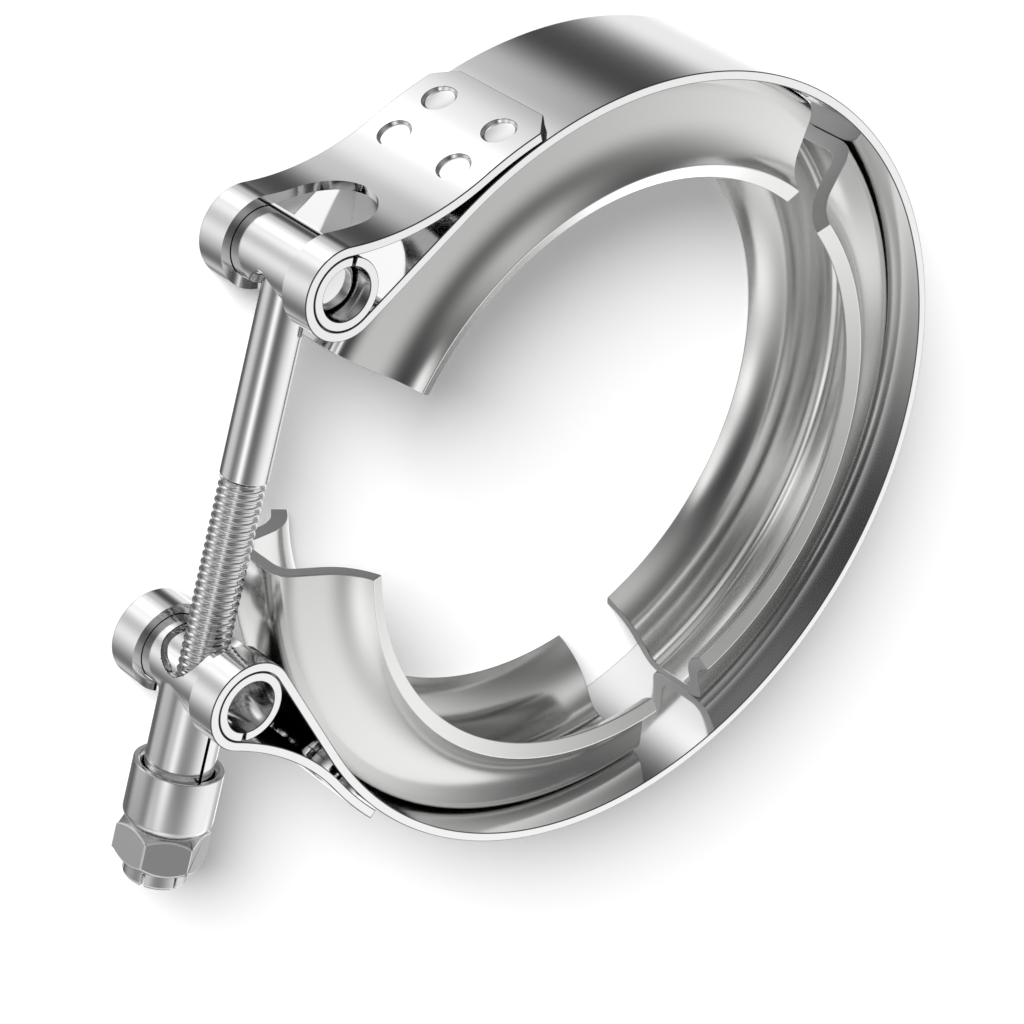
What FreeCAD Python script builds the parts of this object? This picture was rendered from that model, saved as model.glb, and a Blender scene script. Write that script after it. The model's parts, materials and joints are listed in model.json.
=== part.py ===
import FreeCAD, Part
import os
from math import acos, cos, hypot, radians, sin

import Sketcher

# V-band clamp for exhaust flanges, drawn open and relaxed.
# The ring's axis is Z and its centre is the origin. The gap that the T-bolt bridges faces -X, and
# the bolt runs parallel to Y from the upper trunnion (+Y) down through the lower one (-Y).

# Driving dimensions in millimetres and degrees
SIZES = {
    "ring_radius": 51.0,              # inner face of the band
    "band_width": 20.0,
    "band_thickness": 1.2,
    "leaf_gap": 0.05,                 # between the band and the end of the tab folded back over it
    "tab_offset": 3.0,                # centre of the tab's curve from the ring's, towards the gap
    "tab_reach_angle": 59.15,         # from the middle of the gap to the end of the tab
    "tab_corner": 2.5,                # chamfer on the tab's corners
    "tab_bend_radius": 36.0,          # hollow curve from the loop down to the ring
    "trunnion_spacing": 51.87,        # between the two trunnion axes
    "trunnion_standoff": 7.07,        # trunnion axis outside the band's outer face
    "loop_clearance": 0.1,            # round each trunnion, inside its loop
    "slot_width": 11.4,               # slot through the loops, between the two ears
    "slot_outer_reach": 3.3,          # centre of the slot's round end in the outer leaf
    "slot_inner_reach": 4.75,         # end of the slot in the inner leaf
    "weld_diameter": 4.35,
    "weld_core_diameter": 3.75,
    "weld_groove_depth": 0.15,
    "weld_button_drop": 0.04,         # top of the button below the tab's face
    "weld_first_angle": 48.6,         # first weld row, about the centre of the tab's curve
    "weld_pitch_angle": 7.9,          # to the second row
    "weld_spacing": 10.8,             # across the band
    "seat_gap": 0.05,                 # between the band and the web of a segment
    "sheet_thickness": 2.05,          # of the V segments
    "web_flat": 6.24,
    "web_corner_radius": 2.4,
    "leg_angle": 14.0,                # leg against the radius
    "lip_radius": 6.2,
    "lip_angle": 65.0,                # end of the lip against the radius
    "upper_start_angle": 64.7,
    "upper_span_angle": 96.8,
    "right_start_angle": -50.8,
    "right_span_angle": 103.2,
    "lower_start_angle": -170.0,
    "lower_span_angle": 106.0,
    "lower_end_drop": 12.1,           # cut end of the lower segment, below the ring's centre
    "lower_end_tilt_angle": 4.5,
    "tube_diameter": 9.0,
    "tube_bore": 6.7,
    "tube_slit": 0.45,                # also the seams of the sleeve
    "head_diameter": 6.2,
    "head_length": 15.8,
    "head_chamfer": 0.7,
    "shank_diameter": 5.8,
    "shank_length": 27.1,             # from the upper trunnion axis to the thread
    "thread_diameter": 5.6,
    "thread_chamfer": 0.5,
    "bolt_end_margin": 0.4,           # end of the bolt inside the nut's crown
    "shank_hole_clearance": 1.4,
    "sleeve_diameter": 8.5,
    "sleeve_bore": 6.9,
    "sleeve_length": 19.5,            # from the lower trunnion axis
    "sleeve_blend": 1.2,
    "entry_diameter": 6.9,            # mouth where the bolt enters the lower trunnion
    "entry_swing_angle": 42.0,        # how far the mouth is opened towards -X
    "collar_diameter": 11.1,
    "collar_bore": 8.8,
    "collar_overlap": 6.8,            # of the collar over the sleeve
    "collar_floor": 0.9,
    "collar_rounding": 1.2,
    "collar_seat": 0.1,               # between the sleeve's end and the collar's floor
    "collar_hole_clearance": 0.35,
    "nut_seat": 0.1,                  # between the collar and the nut
    "nut_across_flats": 10.0,
    "nut_height": 5.3,
    "nut_chamfer": 1.0,
    "nut_chamfer_angle": 42.0,        # against the nut's faces
    "nut_fit": 0.03,                  # between the thread's crest and the nut's bore
    "crown_diameter": 8.0,
    "crown_height": 2.25,
    "crown_chamfer": 0.4,
    "crown_slit": 0.35,
    "crown_slit_depth": 2.0,
    "crown_slit_cuts": 3,             # each cut crosses the whole crown
}

# Places and sizes that follow from the driving dimensions
DERIVED = {
    "ring_outer": "=ring_radius + band_thickness",
    "band_half_width": "=band_width / 2",
    "tab_end_x": "=-(ring_outer + leaf_gap) * cos(tab_reach_angle * 1 deg)",
    "tab_end_y": "=(ring_outer + leaf_gap) * sin(tab_reach_angle * 1 deg)",
    "tab_radius": "=sqrt((tab_end_x + tab_offset) ^ 2 + tab_end_y ^ 2)",
    "trunnion_y": "=trunnion_spacing / 2",
    "trunnion_x": "=-sqrt((ring_outer + trunnion_standoff) ^ 2 - trunnion_y ^ 2)",
    "tube_radius": "=tube_diameter / 2",
    "loop_radius": "=tube_radius + loop_clearance",
    "slot_radius": "=slot_width / 2",
    "slot_outer_x": "=trunnion_x + slot_outer_reach",
    "slot_inner_x": "=trunnion_x + slot_inner_reach - slot_radius",
    "slot_start_x": "=trunnion_x - 2 * loop_radius",
    "slot_depth": "=3 * loop_radius",
    "weld_top": "=tab_radius + band_thickness",
    "segment_outer": "=ring_radius - seat_gap",
    "web_half_flat": "=web_flat / 2",
    "leg_start_radius": "=segment_outer - web_corner_radius * (1 - sin(leg_angle * 1 deg))",
    "leg_start_height": "=web_half_flat + web_corner_radius * cos(leg_angle * 1 deg)",
    "lip_start_height":
        "=band_half_width - lip_radius * (cos(leg_angle * 1 deg) - cos(lip_angle * 1 deg))",
    "lip_start_radius":
        "=leg_start_radius - (lip_start_height - leg_start_height) / tan(leg_angle * 1 deg)",
    "lip_centre_radius": "=lip_start_radius + lip_radius * sin(leg_angle * 1 deg)",
    "lip_centre_height": "=lip_start_height + lip_radius * cos(leg_angle * 1 deg)",
    "bore_radius": "=tube_bore / 2",
    "head_radius": "=head_diameter / 2",
    "head_half": "=head_length / 2",
    "head_edge": "=head_half - head_chamfer",
    "head_tip": "=head_radius - head_chamfer",
    "shank_radius": "=shank_diameter / 2",
    "thread_radius": "=thread_diameter / 2",
    "thread_tip": "=thread_radius - thread_chamfer",
    "sleeve_radius": "=sleeve_diameter / 2",
    "collar_top": "=sleeve_length - collar_overlap",
    "collar_floor_top": "=sleeve_length + collar_seat",
    "collar_end": "=collar_floor_top + collar_floor",
    "collar_radius": "=collar_diameter / 2",
    "collar_bore_radius": "=collar_bore / 2",
    "collar_hole_radius": "=thread_radius + collar_hole_clearance",
    "nut_top": "=collar_end + nut_seat",
    "nut_flat": "=nut_across_flats / 2",
    "nut_corner": "=nut_flat / cos(30 * 1 deg)",
    "nut_face": "=nut_corner - nut_chamfer / tan(nut_chamfer_angle * 1 deg)",
    "nut_outside": "=nut_corner + nut_chamfer",
    "nut_top_edge": "=nut_top + nut_chamfer",
    "nut_bottom": "=nut_top + nut_height",
    "nut_bottom_edge": "=nut_bottom - nut_chamfer",
    "nut_bore": "=thread_radius + nut_fit",
    "crown_radius": "=crown_diameter / 2",
    "crown_end": "=nut_bottom + crown_height",
    "crown_edge": "=crown_end - crown_chamfer",
    "crown_tip": "=crown_radius - crown_chamfer",
    "crown_clear": "=crown_end + crown_height",
    "crown_slit_top": "=crown_end - crown_slit_depth",
    "crown_slit_half": "=crown_slit / 2",
    "bolt_end": "=trunnion_spacing + crown_end - bolt_end_margin",
    "bolt_end_edge": "=bolt_end - thread_chamfer",
    "sleeve_hole_radius": "=sleeve_bore / 2",
    "entry_radius": "=entry_diameter / 2",
    "shank_hole_radius": "=shank_radius + shank_hole_clearance",
}

X_AXIS = FreeCAD.Vector(1, 0, 0)
Y_AXIS = FreeCAD.Vector(0, 1, 0)
Z_AXIS = FreeCAD.Vector(0, 0, 1)
ALONG_MINUS_Y = FreeCAD.Rotation(X_AXIS, 90)
ALONG_PLUS_Y = FreeCAD.Rotation(X_AXIS, -90)
TOLERANCE = 0.001
START, END, CENTRE = range(1, 4)
HEX_SIDES = 6

doc = FreeCAD.newDocument("VBandClamp")
sheet = doc.addObject("Spreadsheet::Sheet", "Sizes")


def fill_sheet():
    rows = list(SIZES.items()) + list(DERIVED.items())
    for row, (name, value) in enumerate(rows, start=1):
        sheet.set(f"A{row}", name)
        sheet.set(f"B{row}", str(value))
        sheet.setAlias(f"B{row}", name)
    doc.recompute()


def size(name):
    """Value of a cell, or of the negated cell for a name such as -trunnion_y."""
    if name.startswith("-"):
        return -float(sheet.get(name[1:]))
    return float(sheet.get(name))


def cell(name):
    """The same cell as an expression."""
    if name.startswith("-"):
        return "-Sizes." + name[1:]
    return "Sizes." + name


def bind(feature, **formulas):
    for name, formula in formulas.items():
        feature.setExpression(name, formula)
    return feature


def place(feature, x=None, y=None, z=None, rotation=None):
    """Rotate a feature, then tie its place to formulas."""
    if rotation:
        feature.Placement = FreeCAD.Placement(FreeCAD.Vector(), rotation)
    for axis, formula in (("x", x), ("y", y), ("z", z)):
        if formula:
            feature.setExpression("Placement.Base." + axis, formula)
    return feature


def turned_start(feature, formula):
    """Turn a feature about the Z direction by a formula in degrees."""
    feature.Placement = FreeCAD.Placement(FreeCAD.Vector(), FreeCAD.Rotation(Z_AXIS, 1))
    feature.setExpression("Placement.Rotation.Angle", formula)
    return feature


# Sketch helpers

def dimension(sketch, kind, places, name):
    index = sketch.addConstraint(Sketcher.Constraint(kind, *places, size(name)))
    sketch.setExpression(f"Constraints[{index}]", cell(name))


def pin(sketch, edge, point, x, y):
    """Hold one point of an edge at two cells."""
    dimension(sketch, "DistanceX", (-1, 1, edge, point), x)
    dimension(sketch, "DistanceY", (-1, 1, edge, point), y)


def at_origin(sketch, edge, point):
    sketch.addConstraint(Sketcher.Constraint("Coincident", edge, point, -1, 1))


def outline(sketch, corners):
    """Closed outline of straight edges; each corner is a pair of cells, or None on an axis."""
    points = [FreeCAD.Vector(size(x) if x else 0, size(y) if y else 0, 0) for x, y in corners]
    for index, start in enumerate(points):
        end = points[(index + 1) % len(points)]
        sketch.addGeometry(Part.LineSegment(start, end), False)
    for index in range(len(points)):
        sketch.addConstraint(Sketcher.Constraint("Coincident", index, 2, (index + 1) % len(points), 1))
    for index, (x, y) in enumerate(corners):
        for kind, name in (("DistanceX", x), ("DistanceY", y)):
            if name:
                dimension(sketch, kind, (-1, 1, index, 1), name)
            else:
                sketch.addConstraint(Sketcher.Constraint(kind, -1, 1, index, 1, 0))
    return sketch


def arc(centre, radius, first, last):
    """Arc from one angle in radians anticlockwise to another."""
    circle = Part.Circle(FreeCAD.Vector(*centre, 0), Z_AXIS, radius)
    return Part.ArcOfCircle(circle, first, last)


def line(start, end):
    return Part.LineSegment(FreeCAD.Vector(*start, 0), FreeCAD.Vector(*end, 0))


def tangent_chain(sketch, joints):
    """Joints are (edge, point, next edge, next point)."""
    for joint in joints:
        sketch.addConstraint(Sketcher.Constraint("Tangent", *joint))


def sheet_section(name, path, thickness):
    """Section of a bent strip: its path thickened to one side."""
    section = doc.addObject("Part::Offset2D", name)
    section.Source = path
    section.Mode = 0
    section.Fill = True
    return bind(section, Value=thickness)


def fuse(name, parts):
    joined = doc.addObject("Part::MultiFuse", name)
    joined.Shapes = parts
    return joined


def cut(name, base, tool):
    result = doc.addObject("Part::Cut", name)
    result.Base = base
    result.Tool = tool
    return result


def cylinder(name, radius, height, **where):
    """Cylinder from formulas for its size and place."""
    return place(bind(doc.addObject("Part::Cylinder", name), Radius=radius, Height=height), **where)


def box(name, length, width, height, **where):
    return place(bind(doc.addObject("Part::Box", name), Length=length, Width=width, Height=height), **where)


def origin_feature(body, role):
    return next(feature for feature in body.Origin.OriginFeatures if feature.Role == role)


def body_sketch(body, name, role):
    sketch = body.newObject("Sketcher::SketchObject", name)
    sketch.AttachmentSupport = (origin_feature(body, role), [""])
    sketch.MapMode = "FlatFace"
    return sketch


def turn_profile(body, name, sketch):
    """Revolve a sketch once round its own vertical axis."""
    feature = body.newObject("PartDesign::Revolution", name)
    feature.Profile = sketch
    feature.ReferenceAxis = (sketch, ["V_Axis"])
    feature.Angle = 360
    return feature


def cut_round(body, name, sketch, copies):
    """Cut a sketch through both ways and repeat the cut round the bolt's axis."""
    pocket = body.newObject("PartDesign::Pocket", name)
    pocket.Profile = sketch
    pocket.SideType = "Symmetric"
    pocket.Type = "ThroughAll"
    pattern = body.newObject("PartDesign::PolarPattern", name + "Round")
    pattern.Originals = [pocket]
    pattern.Axis = (origin_feature(body, "Y_Axis"), [""])
    pattern.Angle = 360
    pattern.Occurrences = copies
    body.Tip = pattern
    return pattern


# Band strap

def band_path():
    """The strip's face that lies on the trunnions, from the tip of one tab to the other."""
    sketch = doc.addObject("Sketcher::SketchObject", "BandPath")
    ring, loop = size("ring_outer"), size("loop_radius")
    tab, bend = size("tab_radius"), size("tab_bend_radius")
    x, y, tab_x = size("trunnion_x"), size("trunnion_y"), size("-tab_offset")
    reach = hypot(x, y)
    leave = acos(x / reach) - acos((ring + loop) / reach)
    reach, bend_reach = hypot(x - tab_x, y), tab + bend
    beside = acos((bend_reach ** 2 + reach ** 2 - (bend + loop) ** 2) / (2 * bend_reach * reach))
    bend_angle = acos((x - tab_x) / reach) - beside
    bend_x, bend_y = tab_x + bend_reach * cos(bend_angle), bend_reach * sin(bend_angle)
    toward = acos((bend_x - x) / (bend + loop))
    tab_end = acos((size("tab_end_x") - tab_x) / tab)
    half = radians(180)
    touch = leave + half
    for sign in (1, -1):
        touch_point = (x + loop * cos(touch), sign * (y + loop * sin(touch)))
        leave_point = (ring * cos(leave), sign * ring * sin(leave))
        spans = [((tab_x, 0), tab, tab_end, bend_angle),
                 ((bend_x, sign * bend_y), bend, toward + half, bend_angle + half),
                 ((x, sign * y), loop, toward, touch)]
        for centre, radius, first, last in spans:
            first, last = (first, last) if sign > 0 else (-last, -first)
            sketch.addGeometry(arc(centre, radius, first, last), False)
        sketch.addGeometry(line(touch_point, leave_point), False)
    sketch.addGeometry(arc((0, 0), ring, -leave, leave), False)
    ring_edge = sketch.GeometryCount - 1
    tangent_chain(sketch, [
        (0, END, 1, END), (1, START, 2, START), (2, END, 3, START), (3, END, ring_edge, END),
        (4, START, 5, START), (5, END, 6, END), (6, START, 7, START), (7, END, ring_edge, START),
    ])
    at_origin(sketch, ring_edge, CENTRE)
    dimension(sketch, "Radius", (ring_edge,), "ring_outer")
    for first, end, y_name in ((0, START, "trunnion_y"), (4, END, "-trunnion_y")):
        sketch.addConstraint(Sketcher.Constraint("PointOnObject", first, CENTRE, -1))
        dimension(sketch, "DistanceX", (-1, 1, first, CENTRE), "-tab_offset")
        dimension(sketch, "Radius", (first,), "tab_radius")
        dimension(sketch, "DistanceX", (-1, 1, first, end), "tab_end_x")
        dimension(sketch, "Radius", (first + 1,), "tab_bend_radius")
        dimension(sketch, "Radius", (first + 2,), "loop_radius")
        pin(sketch, first + 2, CENTRE, "trunnion_x", y_name)
    return sketch


def slot_cutter(tag, side, centre_x, outer):
    """Half of the slot through one loop: the outer leaf's half or the inner leaf's."""
    turn = ALONG_PLUS_Y if side * outer > 0 else ALONG_MINUS_Y
    axis_y = "Sizes.trunnion_y" if side > 0 else "-Sizes.trunnion_y"
    low_y = axis_y if side * outer > 0 else axis_y + " - Sizes.slot_depth"
    straight = doc.addObject("Part::Box", "SlotStraight" + tag)
    bind(straight, Length=f"Sizes.{centre_x} - Sizes.slot_start_x", Width="Sizes.slot_depth",
         Height="Sizes.slot_width")
    place(straight, "Sizes.slot_start_x", low_y, "-Sizes.slot_radius")
    rounded = doc.addObject("Part::Cylinder", "SlotEnd" + tag)
    bind(rounded, Radius="Sizes.slot_radius", Height="Sizes.slot_depth")
    place(rounded, f"Sizes.{centre_x}", axis_y, None, turn)
    return [straight, rounded]


def weld_angle(row):
    return f"Sizes.weld_first_angle + {row} * Sizes.weld_pitch_angle"


def weld_pin(name, side, row, across, radius, low, high):
    """Short pin square to the tab at one spot weld, between two distances from its curve's centre."""
    angle = f"(180 - {side} * ({weld_angle(row)})) * 1 deg"
    start = side * (size("weld_first_angle") + row * size("weld_pitch_angle"))
    outwards = FreeCAD.Rotation(Z_AXIS, 180 - start).multiply(FreeCAD.Rotation(Y_AXIS, 90))
    cylinder = doc.addObject("Part::Cylinder", name)
    bind(cylinder, Radius=radius, Height=f"{high} - ({low})")
    return place(cylinder, f"({low}) * cos({angle}) - Sizes.tab_offset", f"({low}) * sin({angle})",
                 f"{across} * Sizes.weld_spacing / 2", outwards)


def make_welds():
    """Rings pressed into the tabs, the buttons left inside them, and the nuggets below."""
    marks, buttons = [], []
    groove = "Sizes.weld_top - Sizes.weld_groove_depth"
    for side in (1, -1):
        for row in (0, 1):
            nugget = ("Sizes.ring_outer - Sizes.band_thickness / 2"
                      f" - Sizes.tab_offset * cos(({weld_angle(row)}) * 1 deg)")
            for across in (1, -1):
                tag = f"{'Upper' if side > 0 else 'Lower'}{row + 1}{'Near' if across > 0 else 'Far'}"
                where = (side, row, across)
                marks.append(weld_pin("Mark" + tag, *where, "Sizes.weld_diameter / 2",
                                      groove, "Sizes.weld_top + Sizes.band_thickness"))
                buttons.append(weld_pin("Button" + tag, *where, "Sizes.weld_core_diameter / 2", nugget,
                                        "Sizes.weld_top - Sizes.weld_button_drop"))
    return fuse("WeldMarks", marks), fuse("WeldButtons", buttons)


def tab_corner_edges(shape):
    """The short edges at the four corners of the tabs."""
    numbers = []
    for number, edge in enumerate(shape.Edges, start=1):
        middle = edge.CenterOfMass
        short = abs(edge.Length - size("band_thickness")) < TOLERANCE
        on_side = abs(abs(middle.z) - size("band_half_width")) < TOLERANCE
        on_tab = hypot(middle.x + size("tab_offset"), middle.y) > size("tab_radius")
        if short and on_side and on_tab:
            numbers.append(number)
    return numbers


def make_band():
    section = sheet_section("BandSection", band_path(), "Sizes.band_thickness")
    strip = doc.addObject("Part::Extrusion", "BandStrip")
    strip.Base = section
    strip.DirMode = "Custom"
    strip.Dir = Z_AXIS
    strip.Solid = True
    strip.Symmetric = True
    bind(strip, LengthFwd="Sizes.band_width")
    doc.recompute()
    cornered = doc.addObject("Part::Chamfer", "BandCorners")
    cornered.Base = strip
    corner = size("tab_corner")
    cornered.Edges = [(number, corner, corner) for number in tab_corner_edges(strip.Shape)]
    cutters = []
    for side, word in ((1, "Upper"), (-1, "Lower")):
        cutters += slot_cutter(word + "Outer", side, "slot_outer_x", 1)
        cutters += slot_cutter(word + "Inner", side, "slot_inner_x", -1)
    slotted = cut("BandSlotted", cornered, fuse("BandSlots", cutters))
    marks, buttons = make_welds()
    return fuse("band", [cut("BandMarked", slotted, marks), buttons])


# V segments

def segment_path():
    """Outer face of the V: lip, leg, corner, web, corner, leg, lip."""
    sketch = doc.addObject("Sketcher::SketchObject", "SegmentPath")
    web, flat = size("segment_outer"), size("web_half_flat")
    corner, lip = size("web_corner_radius"), size("lip_radius")
    lean, flare = radians(size("leg_angle")), radians(size("lip_angle"))
    quarter = radians(90)
    sketch.addGeometry(line((web, -flat), (web, flat)), False)
    for sign in (1, -1):
        bends = [((web - corner, sign * flat), corner, 0, quarter - lean),
                 ((size("lip_centre_radius"), sign * size("lip_centre_height")), lip,
                  -quarter - flare, -quarter - lean)]
        for middle, radius, first, last in bends:
            first, last = (first, last) if sign > 0 else (-last, -first)
            sketch.addGeometry(arc(middle, radius, first, last), False)
        sketch.addGeometry(line((size("leg_start_radius"), sign * size("leg_start_height")),
                                (size("lip_start_radius"), sign * size("lip_start_height"))), False)
    tangent_chain(sketch, [
        (0, END, 1, START), (1, END, 3, START), (3, END, 2, END),
        (0, START, 4, END), (4, START, 6, START), (6, END, 5, START),
    ])
    sketch.addConstraint(Sketcher.Constraint("Vertical", 0))
    for first, end, web_end, sign in ((1, START, END, ""), (4, END, START, "-")):
        dimension(sketch, "DistanceY", (-1, 1, 0, web_end), sign + "web_half_flat")
        dimension(sketch, "Radius", (first,), "web_corner_radius")
        dimension(sketch, "Radius", (first + 1,), "lip_radius")
        dimension(sketch, "DistanceY", (-1, 1, first + 1, end), sign + "band_half_width")
        dimension(sketch, "DistanceY", (-1, 1, first + 1, CENTRE), sign + "lip_centre_height")
        dimension(sketch, "DistanceX", (-1, 1, first + 1, CENTRE), "lip_centre_radius")
    dimension(sketch, "DistanceX", (-1, 1, 0, START), "segment_outer")
    sketch.Placement = FreeCAD.Placement(FreeCAD.Vector(), FreeCAD.Rotation(X_AXIS, 90))
    return sketch


def make_segments():
    section = sheet_section("SegmentSection", segment_path(), "Sizes.sheet_thickness")
    revolved = {}
    for word, name in (("upper", "segment_upper"), ("right", "segment_right"), ("lower", "LowerRevolved")):
        segment = doc.addObject("Part::Revolution", name)
        segment.Source = section
        segment.Axis = Z_AXIS
        segment.Solid = True
        bind(segment, Angle=f"Sizes.{word}_span_angle")
        turned_start(segment, f"Sizes.{word}_start_angle")
        revolved[word] = segment
    trim = turned_start(doc.addObject("Part::Box", "LowerEndCut"), "Sizes.lower_end_tilt_angle")
    bind(trim, Length="Sizes.ring_radius", Width="Sizes.ring_radius", Height="2 * Sizes.band_width")
    place(trim, "-Sizes.ring_outer", "-Sizes.lower_end_drop", "-Sizes.band_width")
    return [revolved["upper"], revolved["right"], cut("segment_lower", revolved["lower"], trim)]


# Latch

UPPER = {"x": "Sizes.trunnion_x", "y": "Sizes.trunnion_y"}
LOWER = {"x": "Sizes.trunnion_x", "y": "-Sizes.trunnion_y"}


def cross_tube(word):
    """Rolled cross tube of a trunnion, as long as the band is wide, and its bore."""
    tube = cylinder(word + "Tube", "Sizes.tube_radius", "Sizes.band_width", z="-Sizes.band_half_width")
    bore = cylinder(word + "Bore", "Sizes.bore_radius", "2 * Sizes.band_width", z="-Sizes.band_width")
    return tube, bore


def cut_in_turn(word, base, tools):
    """Cut tools one after another; the last result is the piece itself."""
    for tool in tools[:-1]:
        base = cut(word + tool.Name, base, tool)
    return cut(word, base, tools[-1])


def make_upper_trunnion():
    tube, bore = cross_tube("Upper")
    slit = box("UpperSlit", "Sizes.tube_slit", "Sizes.tube_radius", "2 * Sizes.band_width",
               x="-Sizes.tube_slit / 2", y="Sizes.bore_radius / 2", z="-Sizes.band_width")
    hole = cylinder("UpperShankHole", "Sizes.shank_hole_radius", "Sizes.tube_diameter",
                    rotation=ALONG_MINUS_Y)
    return place(cut_in_turn("upper_trunnion", tube, [bore, slit, hole]), **UPPER)


def make_t_bolt():
    body = doc.addObject("PartDesign::Body", "t_bolt")
    shank = outline(body_sketch(body, "ShankOutline", "XY_Plane"), [
        (None, None), ("shank_radius", None), ("shank_radius", "-shank_length"),
        ("thread_radius", "-shank_length"), ("thread_radius", "-bolt_end_edge"),
        ("thread_tip", "-bolt_end"), (None, "-bolt_end")])
    turn_profile(body, "Shank", shank)
    head = outline(body_sketch(body, "HeadOutline", "XZ_Plane"), [
        (None, "-head_half"), ("head_tip", "-head_half"), ("head_radius", "-head_edge"),
        ("head_radius", "head_edge"), ("head_tip", "head_half"), (None, "head_half")])
    body.Tip = turn_profile(body, "Head", head)
    return place(body, **UPPER)


def tee_edges(shape):
    """Outer edges where the sleeve leaves the cross tube."""
    numbers = []
    for number, edge in enumerate(shape.Edges, start=1):
        spots = [edge.valueAt(edge.FirstParameter), edge.valueAt(edge.LastParameter)]
        on_tube = all(abs(hypot(spot.x, spot.y) - size("tube_radius")) < TOLERANCE for spot in spots)
        on_sleeve = all(abs(hypot(spot.x, spot.z) - size("sleeve_radius")) < TOLERANCE for spot in spots)
        if on_tube and on_sleeve:
            numbers.append(number)
    return numbers


def make_lower_trunnion():
    """One rolled sheet: cross tube, guide sleeve, seams, and a mouth that the bolt enters by."""
    tube, bore = cross_tube("Lower")
    sleeve = cylinder("Sleeve", "Sizes.sleeve_radius", "Sizes.sleeve_length", rotation=ALONG_MINUS_Y)
    tee = fuse("Tee", [tube, sleeve])
    sleeve_bore = cylinder("SleeveBore", "Sizes.sleeve_hole_radius", "2 * Sizes.sleeve_length",
                           rotation=ALONG_MINUS_Y)
    seam = box("Seam", "Sizes.tube_slit", "2 * Sizes.sleeve_length", "2 * Sizes.band_width",
               x="-Sizes.tube_slit / 2", y="-Sizes.bore_radius / 2 - 2 * Sizes.sleeve_length",
               z="-Sizes.band_width")
    swung = FreeCAD.Rotation(Z_AXIS, size("entry_swing_angle"))
    straight_in = cylinder("EntryStraight", "Sizes.entry_radius", "Sizes.tube_diameter",
                           rotation=ALONG_PLUS_Y)
    swung_in = cylinder("EntrySwung", "Sizes.entry_radius", "Sizes.tube_diameter",
                        rotation=swung.multiply(ALONG_PLUS_Y))
    between = cylinder("EntryBetween", "Sizes.tube_diameter", "Sizes.entry_diameter",
                       rotation=FreeCAD.Rotation(Z_AXIS, 90), z="-Sizes.entry_radius")
    bind(between, Angle="Sizes.entry_swing_angle")
    tools = [bore, sleeve_bore, seam, straight_in, swung_in, between]
    opened = cut_in_turn("OpenTee", tee, tools)
    doc.recompute()
    piece = doc.addObject("Part::Fillet", "lower_trunnion")
    piece.Base = opened
    blend = size("sleeve_blend")
    piece.Edges = [(number, blend, blend) for number in tee_edges(opened.Shape)]
    return place(piece, **LOWER)


def make_collar():
    body = doc.addObject("PartDesign::Body", "collar")
    profile = outline(body_sketch(body, "CollarOutline", "XY_Plane"), [
        ("collar_hole_radius", "-collar_end"), ("collar_radius", "-collar_end"),
        ("collar_radius", "-collar_top"), ("collar_bore_radius", "-collar_top"),
        ("collar_bore_radius", "-collar_floor_top"), ("collar_hole_radius", "-collar_floor_top")])
    turned = turn_profile(body, "CollarTurned", profile)
    doc.recompute()
    rim = next(f"Edge{number}" for number, edge in enumerate(turned.Shape.Edges, start=1)
               if edge.Curve.TypeId == "Part::GeomCircle"
               and abs(edge.Curve.Radius - size("collar_radius")) < TOLERANCE
               and abs(edge.Curve.Center.y + size("collar_end")) < TOLERANCE)
    rounding = body.newObject("PartDesign::Fillet", "CollarRounding")
    rounding.Base = (turned, [rim])
    bind(rounding, Radius="Sizes.collar_rounding")
    body.Tip = rounding
    return place(body, **LOWER)


def make_nut():
    body = doc.addObject("PartDesign::Body", "lock_nut")
    profile = outline(body_sketch(body, "NutOutline", "XY_Plane"), [
        ("nut_bore", "-nut_top"), ("nut_face", "-nut_top"), ("nut_corner", "-nut_top_edge"),
        ("nut_corner", "-nut_bottom_edge"), ("nut_face", "-nut_bottom"), ("crown_radius", "-nut_bottom"),
        ("crown_radius", "-crown_edge"), ("crown_tip", "-crown_end"), ("nut_bore", "-crown_end")])
    turn_profile(body, "NutTurned", profile)
    flat = outline(body_sketch(body, "FlatOutline", "XZ_Plane"), [
        ("nut_flat", "-nut_outside"), ("nut_outside", "-nut_outside"),
        ("nut_outside", "nut_outside"), ("nut_flat", "nut_outside")])
    cut_round(body, "Flat", flat, HEX_SIDES)
    slit = outline(body_sketch(body, "SlitOutline", "XY_Plane"), [
        ("-crown_slit_half", "-crown_clear"), ("crown_slit_half", "-crown_clear"),
        ("crown_slit_half", "-crown_slit_top"), ("-crown_slit_half", "-crown_slit_top")])
    cut_round(body, "Slit", slit, int(size("crown_slit_cuts")))
    return place(body, **LOWER)


def check_and_write(pieces):
    doc.recompute()
    failed = [item.Name for item in doc.Objects if {"Invalid", "Error"} & set(item.State)]
    if failed:
        raise RuntimeError("failed features: " + ", ".join(failed))
    for piece in pieces:
        if piece.Shape.isNull() or not piece.Shape.isValid() or len(piece.Shape.Solids) != 1:
            raise RuntimeError(f"{piece.Label} isn't one sound solid")
    os.makedirs("parts", exist_ok=True)
    for piece in pieces:
        piece.Shape.exportStep(f"parts/{piece.Label}.step")
        print(f"{piece.Label}: {piece.Shape.Volume:.1f} mm3")


fill_sheet()
check_and_write([
    make_band(), *make_segments(), make_upper_trunnion(), make_t_bolt(),
    make_lower_trunnion(), make_collar(), make_nut(),
])
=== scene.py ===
import json
from math import acos, asin, atan2, ceil, copysign, cos, degrees, hypot, pi, radians, sin, sqrt, tan, tau

import bmesh
import bpy
from mathutils import Matrix, Vector


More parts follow.
